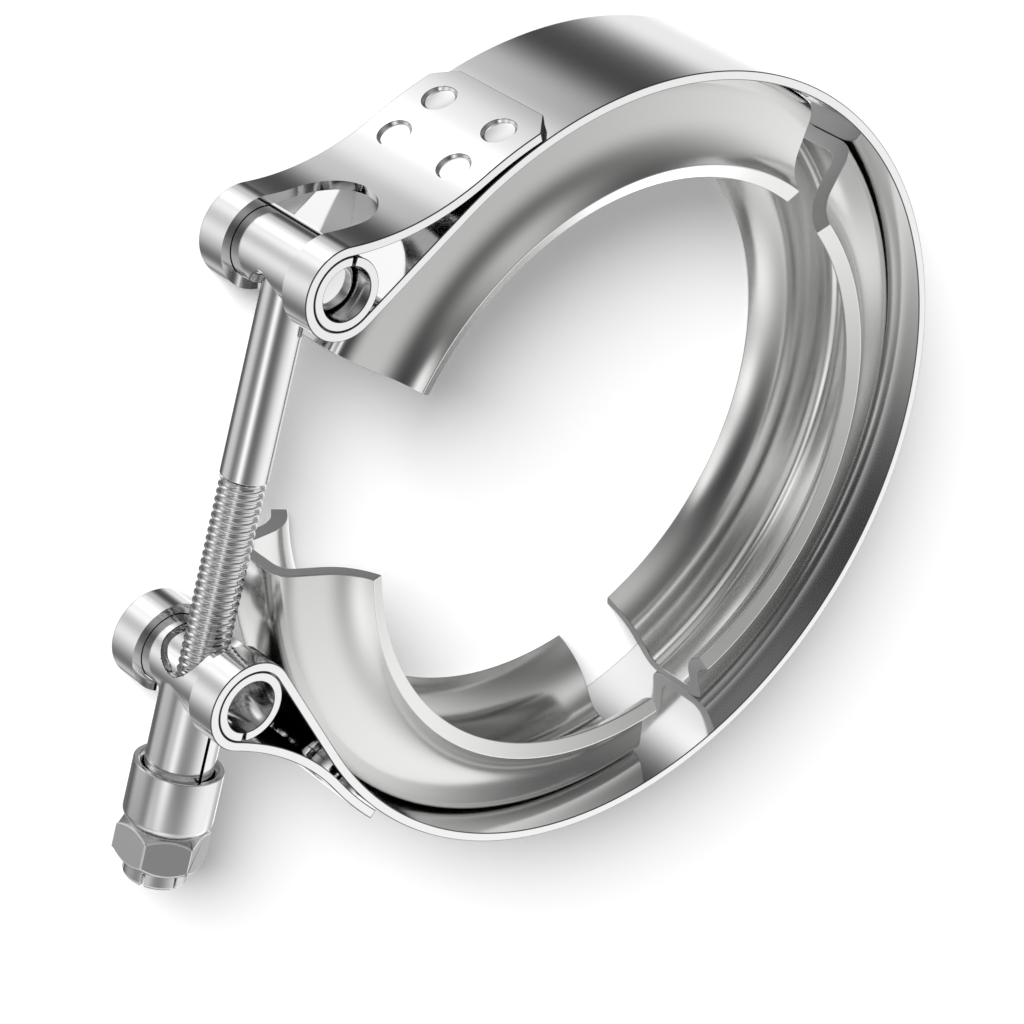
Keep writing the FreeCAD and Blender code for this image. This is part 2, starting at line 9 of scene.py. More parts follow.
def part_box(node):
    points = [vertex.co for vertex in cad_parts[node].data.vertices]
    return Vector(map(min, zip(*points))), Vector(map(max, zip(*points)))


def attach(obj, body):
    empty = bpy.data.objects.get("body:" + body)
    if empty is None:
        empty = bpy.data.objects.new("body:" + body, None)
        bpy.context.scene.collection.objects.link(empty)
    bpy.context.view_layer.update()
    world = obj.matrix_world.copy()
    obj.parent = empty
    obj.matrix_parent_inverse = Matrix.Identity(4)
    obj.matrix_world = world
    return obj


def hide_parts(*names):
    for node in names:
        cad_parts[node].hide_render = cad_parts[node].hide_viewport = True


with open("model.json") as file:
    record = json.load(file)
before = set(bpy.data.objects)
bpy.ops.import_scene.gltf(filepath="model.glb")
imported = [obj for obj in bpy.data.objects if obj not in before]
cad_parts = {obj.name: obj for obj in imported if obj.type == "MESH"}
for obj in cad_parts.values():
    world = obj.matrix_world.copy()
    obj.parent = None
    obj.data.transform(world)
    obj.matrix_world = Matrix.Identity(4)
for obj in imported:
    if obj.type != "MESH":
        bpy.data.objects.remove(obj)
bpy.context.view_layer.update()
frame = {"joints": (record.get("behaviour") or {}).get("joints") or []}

# Open V-band clamp, drawn in the model's frame: ring axis Z, gap at -X, bolt parallel to Y.
# Meshes are built in millimetres and scaled to metres when they become objects.

MM = 0.001


def joint_place(name):
    """A joint's place in millimetres."""
    joint = next(joint for joint in frame["joints"] if joint["name"] == name)
    return [value / MM for value in joint["pos_m"]]


# Ring and strap, in millimetres and degrees
HALF_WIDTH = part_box("band")[1][2] / MM
UPPER_X, UPPER_Y = joint_place("bolt_swing")[:2]
LOWER_X, LOWER_Y = joint_place("latch_swing")[:2]
RING_INNER = 51.0
STRIP = 1.2
LEAF_GAP = 0.05
TAB_REACH = 59.15
TAB_CORNER = 2.5
TAB_OFFSET = 3.0
TAB_BEND = 36.0
LOOP_INNER = 4.6
SLOT_HALF = 5.7
SLOT_OUTER_REACH = 9.0
SLOT_INNER_REACH = 4.75
HOLES_REACH = 8.0
WIDE_ARC = 20.0
RING_STEP = 1.2
LOOP_STEP = 3.0

# Spot welds: the rim is level with the tab but for a little, the floor is sunk and slightly domed
WELD_ANGLES = (48.6, 56.5)
WELD_SPREAD = 5.4
WELD_RADIUS = 2.175
WELD_FIT = 0.01
WELD_SLOPE = 0.3
WELD_FILLET = 0.15
WELD_RIM = 0.1
WELD_DEPTH = 0.45
WELD_SAG = 0.02
WELD_DOME = 0.03
WELD_SUNK = 1.6 * STRIP

# V segments, with their first and last angles round the ring
SEGMENTS = {"segment_upper": (64.7, 161.5), "segment_right": (-50.8, 52.4), "segment_lower": (190.0, 296.0)}
SEAT_GAP = 0.05
SHEET = 2.05
WEB_HALF_FLAT = 3.12
WEB_CORNER = 2.4
INNER_CORNER = 1.1
LEG_ANGLE = 14.0
LIP_RADIUS = 6.2
LIP_ANGLE = 65.0
SECTION_SAMPLES = 192
SECTION_KEPT = 4
SECTION_EASE = 2.2
LOWER_END_DROP = 12.1
LOWER_END_TILT = 4.5
END_FACING = 0.9

# Rolled tubes; the middle of their sheet is TUBE_REACH long on either side of the middle line
TUBE_OUTER = 4.5
TUBE_INNER = 3.35
TUBE_SLIT = 0.45
TUBE_MIDDLE = (TUBE_OUTER + TUBE_INNER) / 2
TUBE_WALL = TUBE_OUTER - TUBE_INNER
TUBE_REACH = TUBE_MIDDLE * (pi - asin(TUBE_SLIT / 2 / TUBE_MIDDLE))
TUBE_SLICES = 120
SHANK_HOLE = 4.3
SLEEVE_OUTER = 4.25
SLEEVE_INNER = 3.45
SLEEVE_LENGTH = 19.4
SLEEVE_BLEND = 1.2
SLEEVE_SUNK = 0.3
SLEEVE_STEPS = 8
ENTRY = 3.45
ENTRY_SWING = 42.0
DRILLED_LIMIT = 80.0

# Bolt, collar and lock nut; heights are below the axis of their tube
HEAD_RADIUS = 3.1
HEAD_HALF = 7.9
HEAD_CHAMFER = 0.7
HEAD_DROP = 0.12
HEAD_CROWN = 0.03
SHANK_RADIUS = 2.9
SHANK_LENGTH = 27.1
SHANK_RUNOUT = 0.35
THREAD_RADIUS = 2.8
THREAD_ROOT = 2.28
THREAD_FULLNESS = 0.35
THREAD_ROWS = 12
PITCH = 1.0
COLLAR_RADIUS = 5.55
COLLAR_BORE = 4.4
COLLAR_TOP = 12.7
COLLAR_FLOOR_TOP = 19.6
COLLAR_END = 20.5
COLLAR_HOLE = 3.15
COLLAR_ROUNDING = 1.2
COLLAR_MOUTH = 0.45
NUT_TOP = 20.6
NUT_BOTTOM = 25.9
NUT_FLAT = 5.0
NUT_CORNER = NUT_FLAT / cos(pi / 6)
NUT_FACE = 4.663
NUT_CHAMFER = 1.0
NUT_BORE = 2.83
CROWN_RADIUS = 4.0
CROWN_CHAMFER = 0.4
CROWN_END = 28.15
CROWN_SLIT = 0.35
CROWN_SLIT_DEPTH = 2.0
BOLT_SUNK = 0.4
BOLT_END = LOWER_Y - CROWN_END + BOLT_SUNK

# Steps round holes, roundings and turned pieces
HOLE_STEPS = 96
HALF_HOLE_STEPS = 32
WELD_STEPS = 40
SLOT_END_STEPS = 28
ROUNDING_STEPS = 10
SMALL_STEPS = 64
HEAD_STEPS = 96
ROUND_STEPS = 128
NUT_STEPS = 144

# Rounding of the edges, and the angles in degrees past which an edge is sharp
STRAP_EDGE = 0.12
WELD_EDGE = 0.06
SEGMENT_EDGE = 0.16
TUBE_EDGE = 0.1
SLEEVE_EDGE = 0.08
HEAD_EDGE = 0.2
SHANK_EDGE = 0.05
COLLAR_EDGE = 0.15
NUT_EDGE = 0.14
SHARP = 35
SEGMENT_SHARP = 40
SLEEVE_SHARP = 30
HEAD_SHARP = 25
NUT_SHARP = 20
FLAT = 1

# Distances that count as none
TOUCHING = 1e-5
THREAD_TOUCHING = 1e-4
LEVEL = 0.001
STRAP_TIP = 0.01

# Grain of the steel
GRAIN_SCALE = 900.0
GRAIN_DETAIL = 3.0

# Floor, daylight and camera
WHITE = (1, 1, 1, 1)
FLOOR_SIZE = 3000
FLOOR_COLOUR = (0.9, 0.9, 0.9, 1)
FLOOR_ROUGHNESS = 0.9
FLOOR_GLOSS = 0.1
FLOOR_GLOW = 0.19
FLOOR_AMBIENT = 0.22
KEY_DIRECTION = (-1.6, 1.08, 1.0)
KEY_SOFTNESS = 26
KEY_STRENGTH = 5.4
CAMERA_PLACE = (-0.3095, 0.1503, 0.2832)
CAMERA_RIGHT = (0.7265, 0.2328, 0.6465)
CAMERA_UP = (0.0845, 0.9034, -0.4204)
CAMERA_BACK = (-0.6819, 0.3600, 0.6367)
CAMERA_LENS = 124.54
CAMERA_SENSOR = 36
CAMERA_SHIFT = -0.0099

# Soft boxes that the metal reflects: azimuth, elevation, brightness, sharpness
SOFT_BOXES = [
    (94, -28, 2.48, 160), (-41, 7, 1.87, 89.2), (-37, -34, 1.72, 97.2), (104, -44, 1.69, 81.1),
    (-5, -35, 1.26, 16), (172, -6, 1.16, 34.5), (130, -40, 1.13, 38.6), (-157, 25, 1.1, 33),
    (176, 24, 1, 44.8), (-172, -41, 0.94, 11.3), (-1, 19, 0.89, 4.3), (163, 27, 0.82, 156.6),
    (-119, 26, 0.8, 13.7), (-56, 31, 0.79, 5.3), (-111, -7, 0.79, 9.6), (85, -45, 0.77, 160),
    (112, 29, 0.57, 9.1), (70, -46, 0.57, 160), (-75, -45, 0.54, 41.1), (25, -43, 0.54, 108.9),
    (-149, 2, 0.47, 82), (121, -4, 0.46, 23.7), (141, -78, 0.37, 11.1), (-34, 69, 0.29, 9.2),
    (-136, -55, 0.25, 52.8), (151, -51, 0.23, 66.3),
]
STUDIO_DARK = 0.02


# Mesh helpers

def linked(name, data):
    """New object in the scene."""
    thing = bpy.data.objects.new(name, data)
    bpy.context.scene.collection.objects.link(thing)
    return thing


def mesh_object(name, bm):
    """Object in metres from a bmesh in millimetres."""
    mesh = bpy.data.meshes.new(name)
    bm.to_mesh(mesh)
    bm.free()
    mesh.transform(Matrix.Scale(MM, 4))
    return linked(name, mesh)


def applied(piece):
    """Turn an object's modifiers into its mesh."""
    depsgraph = bpy.context.evaluated_depsgraph_get()
    mesh = bpy.data.meshes.new_from_object(piece.evaluated_get(depsgraph), depsgraph=depsgraph)
    piece.modifiers.clear()
    old = piece.data
    piece.data = mesh
    bpy.data.meshes.remove(old)
    return piece


def smooth(piece):
    """Shade all faces round."""
    for polygon in piece.data.polygons:
        polygon.use_smooth = True
    return piece


def soften(piece, width, segments=2, angle=SHARP, painted_edges=False, limit="ANGLE"):
    """Round the sharp edges a little, giving the rounding a second material if asked, which paints shade or
    highlight lines along the edges, and shade the faces true.
    """
    smooth(piece)
    bevel = piece.modifiers.new("Edges", "BEVEL")
    bevel.width = width * MM
    bevel.segments = segments
    bevel.limit_method = limit
    bevel.angle_limit = radians(angle)
    bevel.harden_normals = True
    bevel.miter_outer = "MITER_ARC"
    if painted_edges:
        dress(piece, None, None)
        # The rounding takes the second material, which paints shade or highlight lines along the edges.
        bevel.material = 1
        bevel.use_clamp_overlap = False
        bevel.loop_slide = False
    return applied(piece)


def bend(piece, placing):
    """Move each vertex by placing(x, y, z) -> (point, 3x3 turn), and turn the shading with it."""
    mesh = piece.data
    normals = [Vector(corner.vector) for corner in mesh.corner_normals]
    places = [placing(*(vertex.co / MM)) for vertex in mesh.vertices]
    turned = [(places[loop.vertex_index][1] @ normal).normalized()
              for loop, normal in zip(mesh.loops, normals)]
    for vertex, (point, _) in zip(mesh.vertices, places):
        vertex.co = point * MM
    mesh.update()
    mesh.normals_split_custom_set(turned)
    return piece


def shifted(piece, x, y, z=0.0):
    """The piece, moved by millimetres."""
    piece.data.transform(Matrix.Translation(Vector((x, y, z)) * MM))
    return piece


def join(name, pieces):
    """One object from several, shading kept."""
    bm = bmesh.new()
    for piece in pieces:
        bm.from_mesh(piece.data)
        bpy.data.objects.remove(piece)
    mesh = bpy.data.meshes.new(name)
    bm.to_mesh(mesh)
    bm.free()
    return linked(name, mesh)


def face_outwards(bm):
    """Turn all faces to the outside."""
    bmesh.ops.recalc_face_normals(bm, faces=bm.faces[:])


def even_stops(first, last, count):
    """Places that part a length into equal pieces."""
    return [first + (last - first) * index / count for index in range(1, count)]


def slice_across(bm, stops):
    """Cut the mesh by planes at the given places along X."""
    for stop in stops:
        geometry = bm.verts[:] + bm.edges[:] + bm.faces[:]
        bmesh.ops.bisect_plane(bm, geom=geometry, plane_co=(stop, 0, 0), plane_no=(1, 0, 0), dist=TOUCHING)


def extrude(bm, faces, way):
    """Grow faces into a solid along a way."""
    grown = bmesh.ops.extrude_face_region(bm, geom=faces)
    moved = [item for item in grown["geom"] if isinstance(item, bmesh.types.BMVert)]
    bmesh.ops.translate(bm, verts=moved, vec=way)


def loop_edges(bm, points):
    """Closed chain of edges through points."""
    verts = [bm.verts.new(point) for point in points]
    return [bm.edges.new((vert, verts[(index + 1) % len(verts)])) for index, vert in enumerate(verts)]


def plate(outlines, thickness):
    """Flat plate about the XY plane from an outline and its holes."""
    bm = bmesh.new()
    edges = []
    for points in outlines:
        edges += loop_edges(bm, [(x, y, -thickness / 2) for x, y in points])
    bmesh.ops.triangle_fill(bm, edges=edges, use_beauty=True, use_dissolve=False)
    extrude(bm, bm.faces[:], (0, 0, thickness))
    face_outwards(bm)
    return bm


def circle(x, y, radius, count):
    """Points of a circle."""
    turns = [tau * step / count for step in range(count)]
    return [(x + radius * cos(turn), y + radius * sin(turn)) for turn in turns]


def arc_points(x, y, radius, first, last, count):
    """Points of an arc, its ends included, from one angle in degrees to another."""
    angles = [radians(first + (last - first) * step / count) for step in range(count + 1)]
    return [(x + radius * cos(angle), y + radius * sin(angle)) for angle in angles]


def skin_round(bm, rows):
    """Faces between closed rows of vertices that follow one another round an axis."""
    for here, there in zip(rows, rows[1:] + rows[:1]):
        for index in range(len(here)):
            after = (index + 1) % len(here)
            bm.faces.new((here[index], there[index], there[after], here[after]))


def lathe(profile, steps, axis="Y"):
    """Closed ring of a profile of (radius, height) points turned round an axis."""
    bm = bmesh.new()
    rows = []
    for step in range(steps):
        angle = tau * step / steps
        row = []
        for radius, height in profile:
            x, y = radius * cos(angle), radius * sin(angle)
            row.append(bm.verts.new((x, height, y) if axis == "Y" else (x, y, height)))
        rows.append(row)
    skin_round(bm, rows)
    bmesh.ops.remove_doubles(bm, verts=bm.verts[:], dist=TOUCHING)
    face_outwards(bm)
    return bm


def box_cutter(low, high):
    """Box between two corners, to carve with."""
    bm = bmesh.new()
    bmesh.ops.create_cube(bm, size=1)
    for vert in bm.verts:
        vert.co = Vector([low[axis] if vert.co[axis] < 0 else high[axis] for axis in range(3)])
    return mesh_object("Cutter", bm)


def carve(piece, cutters):
    """Take the cutters out of the piece, one after another."""
    for cutter in cutters:
        boolean = piece.modifiers.new("Carve", "BOOLEAN")
        boolean.object = cutter
        boolean.operation = "DIFFERENCE"
        boolean.solver = "EXACT"
        applied(piece)
        bpy.data.objects.remove(cutter)
    return piece


# Band strap

class Path:
    """Chain of arcs and straights in the XY plane, with the place and direction at a length."""

    def __init__(self):
        self.parts = []
        self.length = 0.0

    def arc(self, centre, radius, first, last):
        """Go round a centre from one angle to another."""
        self.add(("arc", centre, radius, first, last), abs(last - first) * radius)

    def straight(self, start, end):
        """Go straight from one place to another."""
        self.add(("straight", start, end), hypot(end[0] - start[0], end[1] - start[1]))

    def add(self, part, length):
        """Put a part at the end of the chain."""
        self.parts.append((self.length, length, part))
        self.length += length

    def at(self, along):
        """Place and direction at a length from the start."""
        start, length, part = self.parts[0]
        for start, length, part in self.parts:
            if along <= start + length:
                break
        share = (along - start) / length
        if part[0] == "straight":
            _, begin, end = part
            direction = (Vector(end) - Vector(begin)).normalized()
            return Vector(begin).lerp(Vector(end), share), direction
        _, centre, radius, first, last = part
        angle = first + (last - first) * share
        turn = 1 if last > first else -1
        place = Vector(centre) + radius * Vector((cos(angle), sin(angle)))
        return place, turn * Vector((-sin(angle), cos(angle)))

    def stops(self):
        """Places to cut a plate so that each arc bends smoothly, the wide ones most finely."""
        places = []
        for start, length, part in self.parts:
            places.append(start)
            if part[0] == "arc":
                step = RING_STEP if part[2] > WIDE_ARC else LOOP_STEP
                count = ceil(degrees(length / part[2]) / step)
                places += [start + length * index / count for index in range(1, count)]
        return places[1:]


def band_path():
    """Middle line of the strip from the tip of the upper tab to the tip of the lower one."""
    ring = RING_INNER + STRIP / 2
    tip = 180 - TAB_REACH
    tip_x, tip_y = arc_points(0, 0, RING_INNER + STRIP + LEAF_GAP, tip, tip, 1)[0]
    tab = hypot(tip_x + TAB_OFFSET, tip_y) + STRIP / 2
    loop = LOOP_INNER + STRIP / 2
    bend_radius = TAB_BEND - STRIP / 2
    x, y = UPPER_X, UPPER_Y
    reach = hypot(x, y)
    leave = acos(x / reach) - acos((ring + loop) / reach)
    reach, bend_reach = hypot(x + TAB_OFFSET, y), tab + bend_radius
    beside = (bend_reach ** 2 + reach ** 2 - (bend_radius + loop) ** 2) / (2 * bend_reach * reach)
    bend_angle = acos((x + TAB_OFFSET) / reach) - acos(beside)
    bend_centre = (bend_reach * cos(bend_angle) - TAB_OFFSET, bend_reach * sin(bend_angle))
    toward = acos((bend_centre[0] - x) / (bend_radius + loop))
    tab_end = atan2(tip_y, tip_x + TAB_OFFSET)
    touch = leave + pi
    path = Path()
    path.arc((-TAB_OFFSET, 0), tab, tab_end, bend_angle)
    path.arc(bend_centre, bend_radius, bend_angle + pi, toward + pi)
    path.arc((x, y), loop, toward, touch)
    path.straight((x + loop * cos(touch), y + loop * sin(touch)), (ring * cos(leave), ring * sin(leave)))
    path.arc((0, 0), ring, leave, -leave)
    path.straight((ring * cos(leave), -ring * sin(leave)), (x + loop * cos(touch), -y - loop * sin(touch)))
    path.arc((x, -y), loop, -touch, -toward)
    path.arc((bend_centre[0], -bend_centre[1]), bend_radius, -toward - pi, -bend_angle - pi)
    path.arc((-TAB_OFFSET, 0), tab, -bend_angle, -tab_end)
    return path, bend_centre


def band_outlines(path, bend_centre):
    """The strip laid flat: its outline, two slots and the weld holes."""
    total, half, corner = path.length, HALF_WIDTH, TAB_CORNER
    edge = [(0, corner - half), (corner, -half), (total - corner, -half), (total, corner - half),
            (total, half - corner), (total - corner, half), (corner, half), (0, half - corner)]
    _, _, (_, _, tab, tab_end, _) = path.parts[0]
    bend_start, _, (_, _, bend_radius, begin_angle, _) = path.parts[1]
    slot_x = UPPER_X + SLOT_OUTER_REACH
    slot_angle = 2 * pi - acos((slot_x - bend_centre[0]) / bend_radius)
    slot_from = bend_start + (begin_angle - slot_angle) * bend_radius
    line_start, line_length, (_, begin, end) = path.parts[3]
    share = (UPPER_X + SLOT_INNER_REACH - begin[0]) / (end[0] - begin[0])
    slot_to = line_start + line_length * share
    outlines = [edge]
    for first, last in ((slot_from, slot_to), (total - slot_to, total - slot_from)):
        rounded = arc_points(last - SLOT_HALF, 0, SLOT_HALF, -90, 90, SLOT_END_STEPS)
        rounded += arc_points(first + SLOT_HALF, 0, SLOT_HALF, 90, 270, SLOT_END_STEPS)
        outlines.append(rounded)
    for angle in WELD_ANGLES:
        along = (radians(180 - angle) - tab_end) * tab
        for place in (along, total - along):
            for across in (-WELD_SPREAD, WELD_SPREAD):
                outlines.append(circle(place, across, WELD_RADIUS, WELD_STEPS))
    return outlines


def make_band():
    """The strip, cut out flat, its outer edges rounded, and bent along its path."""
    path, bend_centre = band_path()
    bm = plate(band_outlines(path, bend_centre), STRIP)
    slice_across(bm, path.stops())
    flat = [edge for edge in bm.edges if edge.calc_face_angle() < radians(FLAT)
            and abs(edge.verts[0].co.x - edge.verts[1].co.x) > LEVEL]
    bmesh.ops.dissolve_edges(bm, edges=flat, use_verts=False, use_face_split=False)
    weight = bm.edges.layers.float.new("bevel_weight_edge")
    for edge in bm.edges:
        if edge.calc_face_angle() > radians(SHARP):
            inner = all(abs(vert.co.y) < HOLES_REACH and STRAP_TIP < vert.co.x < path.length - STRAP_TIP
                        for vert in edge.verts)
            edge[weight] = 0.0 if inner else 1.0
            edge.smooth = not inner
    band = soften(mesh_object("band_strap", bm), STRAP_EDGE, painted_edges=True, limit="WEIGHT")

    def placing(along, across, height):
        place, direction = path.at(along)
        left = Vector((-direction[1], direction[0]))
        point = place + left * height
        turn = Matrix(((direction[0], 0, left[0]), (direction[1], 0, left[1]), (0, -1, 0)))
        return Vector((point[0], point[1], -across)), turn

    return bend(band, placing)


def make_weld_buttons():
    """Floors of the spot welds, each pressed below the face of the tab."""
    top = band_path()[0].parts[0][2][2] + STRIP / 2
    rim, floor = WELD_RADIUS - WELD_FIT, WELD_RADIUS - WELD_SLOPE
    depth = top - WELD_DEPTH
    profile = [(0, top - WELD_SUNK), (rim, top - WELD_SUNK), (rim, top - WELD_RIM), (floor, depth),
               (floor - WELD_FILLET, depth - WELD_SAG), (0, depth + WELD_DOME)]
    pieces = []
    for side, word in ((1, "upper"), (-1, "lower")):
        for row, angle in enumerate(WELD_ANGLES):
            for across in (-WELD_SPREAD, WELD_SPREAD):
                name = f"weld_{word}_{row + 1}_{'near' if across > 0 else 'far'}"
                button = soften(mesh_object(name, lathe(profile, SMALL_STEPS, "Z")), WELD_EDGE)
                turn = Matrix.Rotation(side * radians(180 - angle), 4, "Z") @ Matrix.Rotation(pi / 2, 4, "Y")
                button.data.transform(turn)
                pieces.append(shifted(button, -TAB_OFFSET, 0, across))
    return pieces


# V segments

def section_side(face, flat, corner, leg, lip):
    """One face of half a section from the web's middle to the lip, its bends eased into one another."""
    lean, flare = radians(90 - LEG_ANGLE), radians(90 - LIP_ANGLE)
    turns = [(flat, 0, 0), (corner * lean, 0, lean), (leg, lean, lean), (lip * (lean - flare), lean, flare)]
    length = sum(turn[0] for turn in turns)

    def heading(along):
        for span, first, last in turns:
            if along <= span:
                return first + (last - first) * along / span
            along -= span
        return turns[-1][2]

    samples = [heading(length * step / SECTION_SAMPLES) for step in range(SECTION_SAMPLES + 1)]
    reach = round(SECTION_EASE / 2 * SECTION_SAMPLES / length)
    advance = length / SECTION_SAMPLES
    place, points = (face, 0.0), [(face, 0.0)]
    for step in range(SECTION_SAMPLES):
        low, high = max(0, step - reach), min(SECTION_SAMPLES, step + reach)
        angle = sum(samples[low:high + 1]) / (high + 1 - low)
        place = (place[0] - sin(angle) * advance, place[1] + cos(angle) * advance)
        if (step + 1) % SECTION_KEPT == 0:
            points.append(place)
    return points


def segment_outline():
    """Section of a segment as (radius, height) points."""
    lean = radians(LEG_ANGLE)
    face = RING_INNER - SEAT_GAP
    lip_z = HALF_WIDTH - LIP_RADIUS * (cos(lean) - cos(radians(LIP_ANGLE)))
    leg = (lip_z - WEB_HALF_FLAT - WEB_CORNER * cos(lean)) / sin(lean)
    shorter = (INNER_CORNER + SHEET - WEB_CORNER) * tan((pi / 2 - lean) / 2)
    outer = section_side(face, WEB_HALF_FLAT, WEB_CORNER, leg, LIP_RADIUS)
    inner = section_side(face - SHEET, WEB_HALF_FLAT - shorter, INNER_CORNER, leg - shorter,
                         LIP_RADIUS + SHEET)
    upper = outer + inner[::-1]
    lower = [(r, -z) for r, z in upper[::-1] if z > 0]
    return upper + lower


def make_segment(name, first, last):
    """Prism of the section, bevelled straight and then bent round the ring."""
    bm = bmesh.new()
    start, end = radians(first) * RING_INNER, radians(last) * RING_INNER
    face = bm.faces.new([bm.verts.new((start, r, z)) for r, z in segment_outline()])
    extrude(bm, [face], (end - start, 0, 0))
    if name == "segment_lower":
        tilt = radians(LOWER_END_TILT)
        drop = (LOWER_END_DROP - (RING_INNER + STRIP) * tan(tilt)) * cos(tilt)
        for vert in bm.verts:
            if abs(vert.co.x - start) < LEVEL:
                vert.co.x = (pi + tilt + asin(drop / vert.co.y)) * RING_INNER
    face_outwards(bm)
    lowest = max(vert.co.x for vert in bm.verts if vert.co.x < (start + end) / 2)
    slice_across(bm, even_stops(lowest, end, ceil((last - first) / RING_STEP)))
    piece = soften(mesh_object(name + "_steel", bm), SEGMENT_EDGE, angle=SEGMENT_SHARP)
    for polygon in piece.data.polygons:
        polygon.material_index = int(abs(polygon.normal[0]) > END_FACING)

    def placing(along, radius, height):
        angle = along / RING_INNER
        turn = Matrix(((-sin(angle), cos(angle), 0), (cos(angle), sin(angle), 0), (0, 0, -1)))
        return Vector((radius * cos(angle), radius * sin(angle), -height)), turn

    return bend(piece, placing)


# Latch

def on_tube(points):
    """Outline seen straight on, laid on the flat sheet that a tube is rolled from."""
    return [(TUBE_MIDDLE * asin(x / TUBE_OUTER), z) for x, z in points]


def roll_tube(name, bm, middle_angle):
    """Roll a sheet into a tube whose middle line faces an angle."""
    slice_across(bm, even_stops(-TUBE_REACH, TUBE_REACH, TUBE_SLICES))
    tube = soften(mesh_object(name, bm), TUBE_EDGE, painted_edges=True)

    def placing(along, across, height):
        angle = middle_angle + along / TUBE_MIDDLE
        radius = TUBE_MIDDLE + height
        turn = Matrix(((-sin(angle), 0, cos(angle)), (cos(angle), 0, sin(angle)), (0, 1, 0)))
        return Vector((radius * cos(angle), radius * sin(angle), across)), turn

    return bend(tube, placing)


def make_upper_tube():
    """Rolled tube with its seam at the top and the bolt's hole underneath."""
    half = HALF_WIDTH
    edge = [(-TUBE_REACH, -half), (TUBE_REACH, -half), (TUBE_REACH, half), (-TUBE_REACH, half)]
    bm = plate([edge, on_tube(circle(0, 0, SHANK_HOLE, HOLE_STEPS))], TUBE_WALL)
    return shifted(roll_tube("upper_tube", bm, -pi / 2), UPPER_X, UPPER_Y)


def sleeve_row(angle):
    """Section of the sleeve at one angle round its axis, flared on to the cross tube."""
    across, deep = sin(angle), cos(angle)
    spine = SLEEVE_OUTER + SLEEVE_BLEND
    below = sqrt((TUBE_OUTER + SLEEVE_BLEND) ** 2 - (spine * across) ** 2)
    centre = Vector((spine * across, -below, spine * deep))
    to_tube = Vector((-centre.x, -centre.y, 0)).normalized()
    to_sleeve = Vector((-across, 0, -deep))
    row = [Vector((SLEEVE_OUTER * across, -SLEEVE_LENGTH, SLEEVE_OUTER * deep))]
    for step in range(SLEEVE_STEPS + 1):
        way = to_sleeve.slerp(to_tube, step / SLEEVE_STEPS)
        row.append(centre + SLEEVE_BLEND * way)
    row.append(row[-1] + SLEEVE_SUNK * to_tube)
    inner = SLEEVE_INNER * across
    inside = sqrt((TUBE_OUTER - SLEEVE_SUNK) ** 2 - inner ** 2)
    row.append(Vector((inner, -inside, SLEEVE_INNER * deep)))
    row.append(Vector((inner, -SLEEVE_LENGTH, SLEEVE_INNER * deep)))
    return row


def make_sleeve():
    """Guide sleeve in two halves that meet at a seam on either side."""
    bm = bmesh.new()
    turns = [tau * step / ROUND_STEPS for step in range(ROUND_STEPS)]
    skin_round(bm, [[bm.verts.new(point) for point in sleeve_row(turn)] for turn in turns])
    face_outwards(bm)
    far = 2 * TUBE_OUTER
    seam = box_cutter((-TUBE_SLIT / 2, -SLEEVE_LENGTH - 1, -far), (TUBE_SLIT / 2, 0, far))
    return soften(carve(mesh_object("Sleeve", bm), [seam]), SLEEVE_EDGE, angle=SLEEVE_SHARP)


def drilled(along):
    """Where the wall of a hole drilled straight into the tube meets the tube's inside."""
    across = TUBE_OUTER * sin(along / TUBE_MIDDLE)
    return TUBE_MIDDLE * min(asin(min(across / TUBE_INNER, 1)), radians(DRILLED_LIMIT))


def make_lower_tube():
    """Cross tube with its seam below, the sleeve under it and the mouth that the bolt enters by."""
    reach, half, bottom = TUBE_REACH, HALF_WIDTH, pi * TUBE_MIDDLE
    notch = on_tube(arc_points(0, 0, SLEEVE_INNER, -90, 90, HALF_HOLE_STEPS))
    right = [(reach, -half)] + [(min(reach, bottom - x), z) for x, z in notch] + [(reach, half)]
    edge = right + [(-x, z) for x, z in reversed(right)]
    swing = radians(ENTRY_SWING) * TUBE_MIDDLE
    mouth = on_tube(arc_points(0, 0, ENTRY, -90, 90, HALF_HOLE_STEPS))
    mouth = [(swing + x, z) for x, z in mouth] + [(-x, z) for x, z in reversed(mouth)]
    bm = plate([edge, mouth], TUBE_WALL)
    for vert in bm.verts:
        if vert.co.z < 0 and abs(vert.co.y) < SLEEVE_INNER:
            along = vert.co.x
            if abs(along) > reach / 2:
                inward = bottom - drilled(bottom - abs(along))
                vert.co.x = copysign(min(reach, inward), along)
            elif along < 0:
                vert.co.x = -drilled(-along)
    tube = roll_tube("Tube", bm, pi / 2)
    return shifted(join("lower_tube_tee", [tube, make_sleeve()]), LOWER_X, LOWER_Y)


def thread_radius(share):
    """Rolled thread: rounded crest and root."""
    swing = cos(tau * share)
    shape = swing * (1 + THREAD_FULLNESS - THREAD_FULLNESS * swing * swing)
    middle, depth = (THREAD_RADIUS + THREAD_ROOT) / 2, (THREAD_RADIUS - THREAD_ROOT) / 2
    return middle + depth * shape


